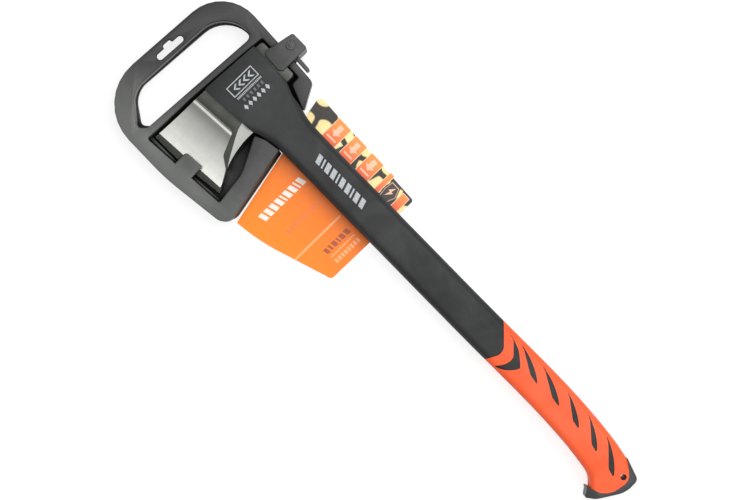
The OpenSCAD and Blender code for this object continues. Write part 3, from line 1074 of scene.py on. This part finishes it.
def make_crevice_shade():
    """A mask for painted shade: one out in the open, and falling towards nought deep in a corner or a
    slot.
    """
    group, given, result = effect("crevice_shade", {"Reach": 0.018}, ["Open"])
    seen = add(group, "AmbientOcclusion", {"Distance": given[0]}, samples=8).outputs["AO"]
    group.links.new(spread(group, seen, 0.35, 0.85), result["Open"])
    return group


def make_lines():
    """The fine lines of a grinding belt, which run across the blade from edge to body."""
    group, given, result = effect("ground lines", {"Lines per metre": 2600}, ["Height", "Streaks"])
    where = add(group, "TexCoord").outputs["Object"]
    long = add(group, "Mapping", {"Vector": where, "Rotation": (0, 0, radians(-HEAD_TILT)),
                                  "Scale": (1, 0.03, 0.2)}).outputs["Vector"]
    fine = add(group, "TexNoise", {"Vector": long, "Scale": given[0], "Detail": 3.0})
    coarse = add(group, "TexNoise", {"Vector": long, "Scale": sums(group, "MULTIPLY", given[0], 0.1),
                                     "Detail": 4.0, "Roughness": 0.7})
    group.links.new(fine.outputs["Fac"], result["Height"])
    group.links.new(spread(group, coarse.outputs["Fac"], 0.3, 0.7), result["Streaks"])
    return group


grain = make_grain()
handling = make_patches()
edge_wear = make_wear()
crevice_shade = make_crevice_shade()
ground_lines = make_lines()
print("effects:", [group.name for group in bpy.data.node_groups])

# %% [markdown]
# ## Finishes
# Plastic and rubber differ in colour, gloss and grain, but not in kind, so one function makes
# them all. Patches shift the colour and the gloss a little, edges are rubbed paler and smoother,
# and the grain is a bump of a few hundredths of a millimetre.

# %% Moulded plastic and rubber
def shader_of(material):
    """A material's node tree and the shader in it."""
    material.use_nodes = True
    tree = material.node_tree
    return tree, tree.nodes["Principled BSDF"]


def moulded(name, colour, rubbed, gloss, grains, depth, wear=0.35, specular=0.4, patches=25,
            painted_light_span=None):
    """A moulded finish: two colours, the roughness range, and the grain's scale and depth.

    A piece given a span gets painted light, paler between two distances towards the edge side, and
    painted shade, near black deep in corners and slots."""
    material = bpy.data.materials.new(name)
    tree, shader = shader_of(material)
    hands = place(tree, handling, Patches_per_metre=patches)
    edges = place(tree, edge_wear)
    tone = sums(tree, "MULTIPLY", hands["Patches"], 0.35)
    tone = sums(tree, "MULTIPLY_ADD", edges["Wear"], wear, tone)
    tone = sums(tree, "MULTIPLY_ADD", hands["Dust"], 0.12, tone)
    finish = mixed(tree, tone, (*colour, 1), (*rubbed, 1))
    rough = spread(tree, hands["Patches"], 0, 1, gloss[1], gloss[0])
    # Painted light: paler towards the edge side. Painted shade: near black deep in corners and slots.
    if painted_light_span:
        where = add(tree, "TexCoord").outputs["Object"]
        y = add(tree, "SeparateXYZ", {"Vector": where}).outputs["Y"]
        ragged = sums(tree, "MULTIPLY_ADD", hands["Patches"], 0.012, y)
        paler = add(tree, "HueSaturation", {"Color": finish, "Value": 4.5}).outputs["Color"]
        finish = mixed(tree, spread(tree, ragged, *painted_light_span), finish, paler)
        # Painted shade: the colour goes near black where this mask falls towards nought.
        out_of_shade = place(tree, crevice_shade)["Open"]
        finish = mixed(tree, out_of_shade, (0.001, 0.001, 0.001, 1), finish)
        rough = sums(tree, "MAXIMUM", rough, sums(tree, "SUBTRACT", 1, out_of_shade))
    tree.links.new(finish, shader.inputs["Base Color"])
    tree.links.new(rough, shader.inputs["Roughness"])
    height = place(tree, grain, Grains_per_metre=grains)["Height"]
    bump = add(tree, "Bump", {"Height": height, "Strength": 0.6, "Distance": depth * MM})
    tree.links.new(bump.outputs["Normal"], shader.inputs["Normal"])
    shader.inputs["Specular IOR Level"].default_value = specular
    return material


handle_nylon = moulded("handle_nylon", (0.018, 0.0185, 0.019), (0.045, 0.046, 0.046),
                       (0.5, 0.64), 1300, 0.05, specular=0.3)
grip_rubber = moulded("grip_rubber", (0.93, 0.105, 0.026), (1, 0.17, 0.07), (0.5, 0.66),
                      1900, 0.04, wear=0.5, specular=0.3)
cap_rubber = moulded("cap_rubber", (0.038, 0.04, 0.04), (0.09, 0.092, 0.09), (0.42, 0.56),
                     1900, 0.04)
# The sheath's colour has painted light, paler towards the edge side, and painted shade deep in its
# corners and slots.
sheath_plastic = moulded("sheath_plastic", (0.023, 0.024, 0.023), (0.042, 0.043, 0.041),
                         (0.34, 0.46), 1700, 0.03, specular=0.33, patches=14,
                         painted_light_span=(0.045, 0.115))
latch_plastic = moulded("latch_plastic", (0.026, 0.027, 0.027), (0.06, 0.06, 0.058),
                        (0.36, 0.48), 1700, 0.03)
pin_plastic = moulded("pin_plastic", (0.05, 0.05, 0.05), (0.1, 0.1, 0.1), (0.3, 0.42), 1700, 0.02)
print("six moulded finishes, from", handle_nylon.name, "to", pin_plastic.name)

# %% [markdown]
# The steel has two finishes. The cheeks, the facets and the bevel's land are ground bright: bare
# metal with fine lines and a few smears of oil. The rest keeps a thin greenish-grey coating, that
# is satin, mottled, and worn through to bright metal along the edges.

# %% Steel
def make_ground_steel(material):
    """Bright bare metal with belt lines, a little dulled in patches."""
    tree, shader = shader_of(material)
    lines = place(tree, ground_lines)
    hands = place(tree, handling, Patches_per_metre=30)
    tone = mixed(tree, lines["Streaks"], (0.57, 0.57, 0.54, 1), (0.61, 0.61, 0.58, 1))
    tone = mixed(tree, sums(tree, "MULTIPLY", hands["Patches"], 0.4), tone, (0.4, 0.41, 0.37, 1))
    tree.links.new(tone, shader.inputs["Base Color"])
    tree.links.new(spread(tree, hands["Patches"], 0, 1, 0.3, 0.38), shader.inputs["Roughness"])
    bump = add(tree, "Bump", {"Height": lines["Height"], "Strength": 0.15, "Distance": 0.02 * MM})
    tree.links.new(bump.outputs["Normal"], shader.inputs["Normal"])
    shader.inputs["Metallic"].default_value = 1


def make_coated_steel(material):
    """A satin coat with fine grain, worn to the metal along edges."""
    tree, shader = shader_of(material)
    hands = place(tree, handling, Patches_per_metre=60)
    edges = place(tree, edge_wear, Radius=0.0006)
    worn = sums(tree, "MULTIPLY", edges["Wear"], 0.7)
    coat = mixed(tree, hands["Patches"], (0.047, 0.051, 0.042, 1), (0.067, 0.071, 0.06, 1))
    tree.links.new(mixed(tree, worn, coat, (0.6, 0.6, 0.58, 1)), shader.inputs["Base Color"])
    tree.links.new(spread(tree, worn, 0, 1, 0.45, 1), shader.inputs["Metallic"])
    tree.links.new(spread(tree, hands["Patches"], 0, 1, 0.5, 0.38), shader.inputs["Roughness"])
    height = place(tree, grain, Grains_per_metre=2200)["Height"]
    bump = add(tree, "Bump", {"Height": height, "Strength": 0.5, "Distance": 0.02 * MM})
    tree.links.new(bump.outputs["Normal"], shader.inputs["Normal"])


make_ground_steel(ground_steel)
make_coated_steel(coated_steel)
print("filled in:", ground_steel.name, coated_steel.name)

# %% [markdown]
# The card is varnished board. One wing is a flat orange that deepens towards the shaft. The other
# shows a stack of logs, end on: pale rounds with growth rings and dark bark between. A printed
# picture would usually be an image, but this one is a Voronoi pattern, whose cells are the logs
# and whose distance to the edge is the bark, so it needs no file.

# %% Printed board
BARK = (0.035, 0.03, 0.024, 1)


def make_card_print():
    """Varnished print: flat orange on the edge side, logs on the poll side."""
    material = bpy.data.materials.new("card_print")
    tree, shader = shader_of(material)
    where = add(tree, "TexCoord").outputs["Object"]
    y = add(tree, "SeparateXYZ", {"Vector": where}).outputs["Y"]
    orange = mixed(tree, spread(tree, y, 0.02, 0.09), (0.93, 0.19, 0.012, 1), (0.98, 0.26, 0.014, 1))
    logs = {"Vector": where, "Scale": 50.0, "Randomness": 0.95}
    bark = add(tree, "TexVoronoi", logs, feature="DISTANCE_TO_EDGE",
               voronoi_dimensions="2D").outputs["Distance"]
    heart = add(tree, "TexVoronoi", logs, voronoi_dimensions="2D")
    rings = sums(tree, "SINE", sums(tree, "MULTIPLY", heart.outputs["Distance"], 60))
    tint = sums(tree, "MULTIPLY_ADD", rings, 0.18, heart.outputs["Distance"])
    wood = mixed(tree, spread(tree, tint, 0, 0.7), (1, 0.87, 0.42, 1), (0.93, 0.7, 0.27, 1))
    fibre = add(tree, "TexNoise", {"Vector": where, "Scale": 420.0, "Detail": 3.0}).outputs["Fac"]
    wood = mixed(tree, spread(tree, fibre, 0.5, 0.75, 0, 0.4), wood, (1, 0.9, 0.62, 1))
    knotty = sums(tree, "MULTIPLY_ADD", fibre, 0.05, bark)
    stack = mixed(tree, spread(tree, knotty, 0.13, 0.2), BARK, wood)
    gaps = spread(tree, heart.outputs["Distance"], 0.5, 0.58)
    stack = mixed(tree, gaps, stack, BARK)
    wing = spread(tree, y, -0.012, -0.011)        # the two wings meet behind the shaft
    tree.links.new(mixed(tree, wing, stack, orange), shader.inputs["Base Color"])
    varnish = place(tree, handling, Patches_per_metre=18)
    tree.links.new(spread(tree, varnish["Patches"], 0, 1, 0.42, 0.3), shader.inputs["Roughness"])
    shader.inputs["Specular IOR Level"].default_value = 0.22
    bump = add(tree, "Bump", {"Height": fibre, "Strength": 0.15, "Distance": 0.03 * MM})
    tree.links.new(bump.outputs["Normal"], shader.inputs["Normal"])
    return material


def make_board(name, colour, darker):
    """Bare board: the white core at the cut edge, or the grey back."""
    material = bpy.data.materials.new(name)
    tree, shader = shader_of(material)
    where = add(tree, "TexCoord").outputs["Object"]
    fibre = add(tree, "TexNoise", {"Vector": where, "Scale": 900.0, "Detail": 4.0}).outputs["Fac"]
    tree.links.new(mixed(tree, fibre, (*colour, 1), (*darker, 1)), shader.inputs["Base Color"])
    bump = add(tree, "Bump", {"Height": fibre, "Strength": 0.4, "Distance": 0.05 * MM})
    tree.links.new(bump.outputs["Normal"], shader.inputs["Normal"])
    shader.inputs["Roughness"].default_value = 0.85
    return material


def make_foam():
    """Open foam: pale, matt and full of small cells."""
    material = bpy.data.materials.new("pad_foam")
    tree, shader = shader_of(material)
    where = add(tree, "TexCoord").outputs["Object"]
    cells = add(tree, "TexVoronoi", {"Vector": where, "Scale": 1100.0}).outputs["Distance"]
    tone = mixed(tree, spread(tree, cells, 0.1, 0.6), (0.16, 0.16, 0.16, 1), (0.5, 0.5, 0.48, 1))
    tree.links.new(tone, shader.inputs["Base Color"])
    bump = add(tree, "Bump", {"Height": cells, "Strength": 0.8, "Distance": 0.3 * MM})
    tree.links.new(bump.outputs["Normal"], shader.inputs["Normal"])
    shader.inputs["Roughness"].default_value = 0.95
    return material


def ink(name, colour, under, fade, outward=None):
    """Ink that lets a little of what is under it through, and may change away from the shaft."""
    material = bpy.data.materials.new(name)
    tree, shader = shader_of(material)
    where = add(tree, "TexCoord").outputs["Object"]
    screen = add(tree, "TexNoise", {"Vector": where, "Scale": 700.0, "Detail": 3.0}).outputs["Fac"]
    thin = spread(tree, screen, 0.35, 0.75, 0, fade)
    tone = (*colour, 1)
    if outward:
        y = add(tree, "SeparateXYZ", {"Vector": where}).outputs["Y"]
        tone = mixed(tree, spread(tree, y, -0.024, -0.042), tone, (*outward, 1))
    tree.links.new(mixed(tree, thin, tone, (*under, 1)), shader.inputs["Base Color"])
    tree.links.new(spread(tree, screen, 0.3, 0.7, 0.4, 0.55), shader.inputs["Roughness"])
    return material



# %% [markdown]
# Ink is never quite even on plastic or board, so each ink lets a little of what is under it
# through. One function makes them all, from their own colour and the colour beneath.

# %% The card's finishes and the inks
card_print = make_card_print()
board_edge = make_board("board_edge", (0.85, 0.84, 0.8), (0.7, 0.69, 0.65))
board_back = make_board("board_back", (0.42, 0.41, 0.38), (0.3, 0.29, 0.27))
pad_foam = make_foam()
BLACK = (0.035, 0.035, 0.035)
ORANGE = (0.95, 0.25, 0.04)
silver_ink = ink("silver_ink", (0.5, 0.53, 0.55), BLACK, 0.5)
faint_ink = ink("faint_ink", (0.11, 0.115, 0.12), BLACK, 0.6)
white_ink = ink("white_ink", (0.9, 0.86, 0.8), ORANGE, 0.2)
pale_ink = ink("pale_ink", (0.98, 0.45, 0.18), ORANGE, 0.5)
dim_ink = ink("dim_ink", (0.8, 0.17, 0.02), ORANGE, 0.5)
brown_ink = ink("brown_ink", (0.35, 0.045, 0.012), ORANGE, 0.3)
label_ink = ink("label_ink", (0.88, 0.09, 0.03), ORANGE, 0.3, outward=(0.98, 0.29, 0.045))
border_ink = ink("border_ink", (1, 0.74, 0.5), ORANGE, 0.2)
badge_ink = ink("badge_ink", (0.02, 0.018, 0.016), (0.08, 0.06, 0.05), 0.5)
icon_ink = ink("icon_ink", (0.95, 0.58, 0.4), ORANGE, 0.3)
print("inks:", [material.name for material in bpy.data.materials if "ink" in material.name])

# %% [markdown]
# ## Putting it together
# Each piece gets its finish, the body that it rides on and the CAD node that it stands for. The
# table also lists the record's slot, which nothing here reads. Only the latch is on a body of its
# own. The foam pad is the CAD's own node, so it only needs its material.

# %% Finish, ride, replace
PIECES = [
    (handle, handle_nylon, "axe", "handle_body", "handle_nylon"),
    (grip, grip_rubber, "axe", "grip_sleeve", "grip_rubber"),
    (cap, cap_rubber, "axe", "butt_cap", "cap_rubber"),
    (sheath, sheath_plastic, "axe", "sheath_shell", "sheath_plastic"),
    (latch, latch_plastic, "latch", "latch_clip", "latch_plastic"),
    (rivet, pin_plastic, "axe", "latch_pin", "pin_plastic"),
    (card, card_print, "axe", "retail_card", "card_board"),
    (head, None, "axe", "axe_head", "head_steel"),
]
MARKS = [
    (shaft_mark, silver_ink, "handle_nylon"), (wrap_mark, silver_ink, "handle_nylon"),
    (faint_mark, faint_ink, "handle_nylon"), (card_white, white_ink, "card_board"),
    (card_faint, dim_ink, "card_board"), (card_pale, pale_ink, "card_board"),
    (card_dark, brown_ink, "card_board"), (card_labels, label_ink, "card_board"),
    (card_borders, border_ink, "card_board"),
    (card_badge, badge_ink, "card_board"), (card_icons, icon_ink, "card_board"),
]
for piece, material, body, node, slot in PIECES:
    if material:                         # the head already has its two finishes
        finish_with(piece, material)
    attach(piece, body)
    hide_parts(node)
    print(f"{piece.name} stands for {node} and rides on {body}")
for piece, material, slot in MARKS:
    finish_with(piece, material)
    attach(piece, "axe")

# %% [markdown]
# The card is white at its cut edge and grey behind, which the direction that each face points
# tells. The foam pad only needs its finish. The skin has done its work, and goes.

# %% The card's edge and back, the foam pad and the skin
PRINTED, CUT_EDGE, BACK = range(3)
for material in (board_edge, board_back):
    card.data.materials.append(material)
for face in card.data.polygons:
    if abs(face.normal.z) < 0.5:
        face.material_index = CUT_EDGE
    else:
        face.material_index = PRINTED if face.normal.z > 0 else BACK
finish_with(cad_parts["card_pad"], pad_foam)
bpy.data.objects.remove(skin)
print("card slots:", [material.name for material in card.data.materials])
